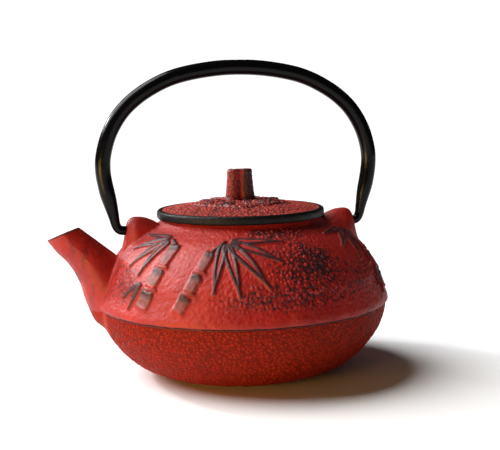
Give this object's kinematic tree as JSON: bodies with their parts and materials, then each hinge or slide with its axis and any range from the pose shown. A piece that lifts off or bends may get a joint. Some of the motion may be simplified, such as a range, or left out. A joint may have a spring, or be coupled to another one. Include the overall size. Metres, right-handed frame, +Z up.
{
  "type": "cast iron teapot",
  "caption": "Round cast iron teapot with a short spout, a flat lid with a bamboo knob, a lift-out tea basket and a swinging bail handle.",
  "frame": {"origin": "centre of the flat foot, on the body's axis", "axes": "+Z up; the spout points along -X; the handle and its lugs stand in the XZ plane and the handle swings about X"},
  "size_m": [0.1635, 0.142, 0.15],
  "materials": {
    "red_enamelled_iron": "textured red enamel, brushed dark on the raised parts",
    "black_iron": "smooth gloss black enamel",
    "basket_steel": "bright pressed stainless steel",
    "basket_mesh": "fine woven stainless wire"
  },
  "bodies": {
    "pot": {"pot_body": "red_enamelled_iron", "spout": "red_enamelled_iron"},
    "handle": {"bail_handle": "black_iron"},
    "basket": {"basket_rim": "basket_steel", "basket_mesh_wall": "basket_mesh", "basket_mesh_floor": "basket_mesh", "basket_bottom_ring": "basket_steel"},
    "lid_assembly": {"lid": "red_enamelled_iron", "lid_knob": "red_enamelled_iron", "knob_washer": "basket_steel"}
  },
  "joints": [
    {"name": "handle_swing", "type": "hinge", "parent": "pot", "child": "handle", "pos_m": [0, 0, 0.0705], "axis": [1, 0, 0], "range_deg": [-104, 104]},
    {"name": "basket_lift", "type": "slide", "parent": "pot", "child": "basket", "axis": [0, 0, 1], "range_m": [0, 0.037]},
    {"name": "lid_lift", "type": "slide", "parent": "basket", "child": "lid_assembly", "axis": [0, 0, 1], "range_m": [0, 0.037]}
  ]
}
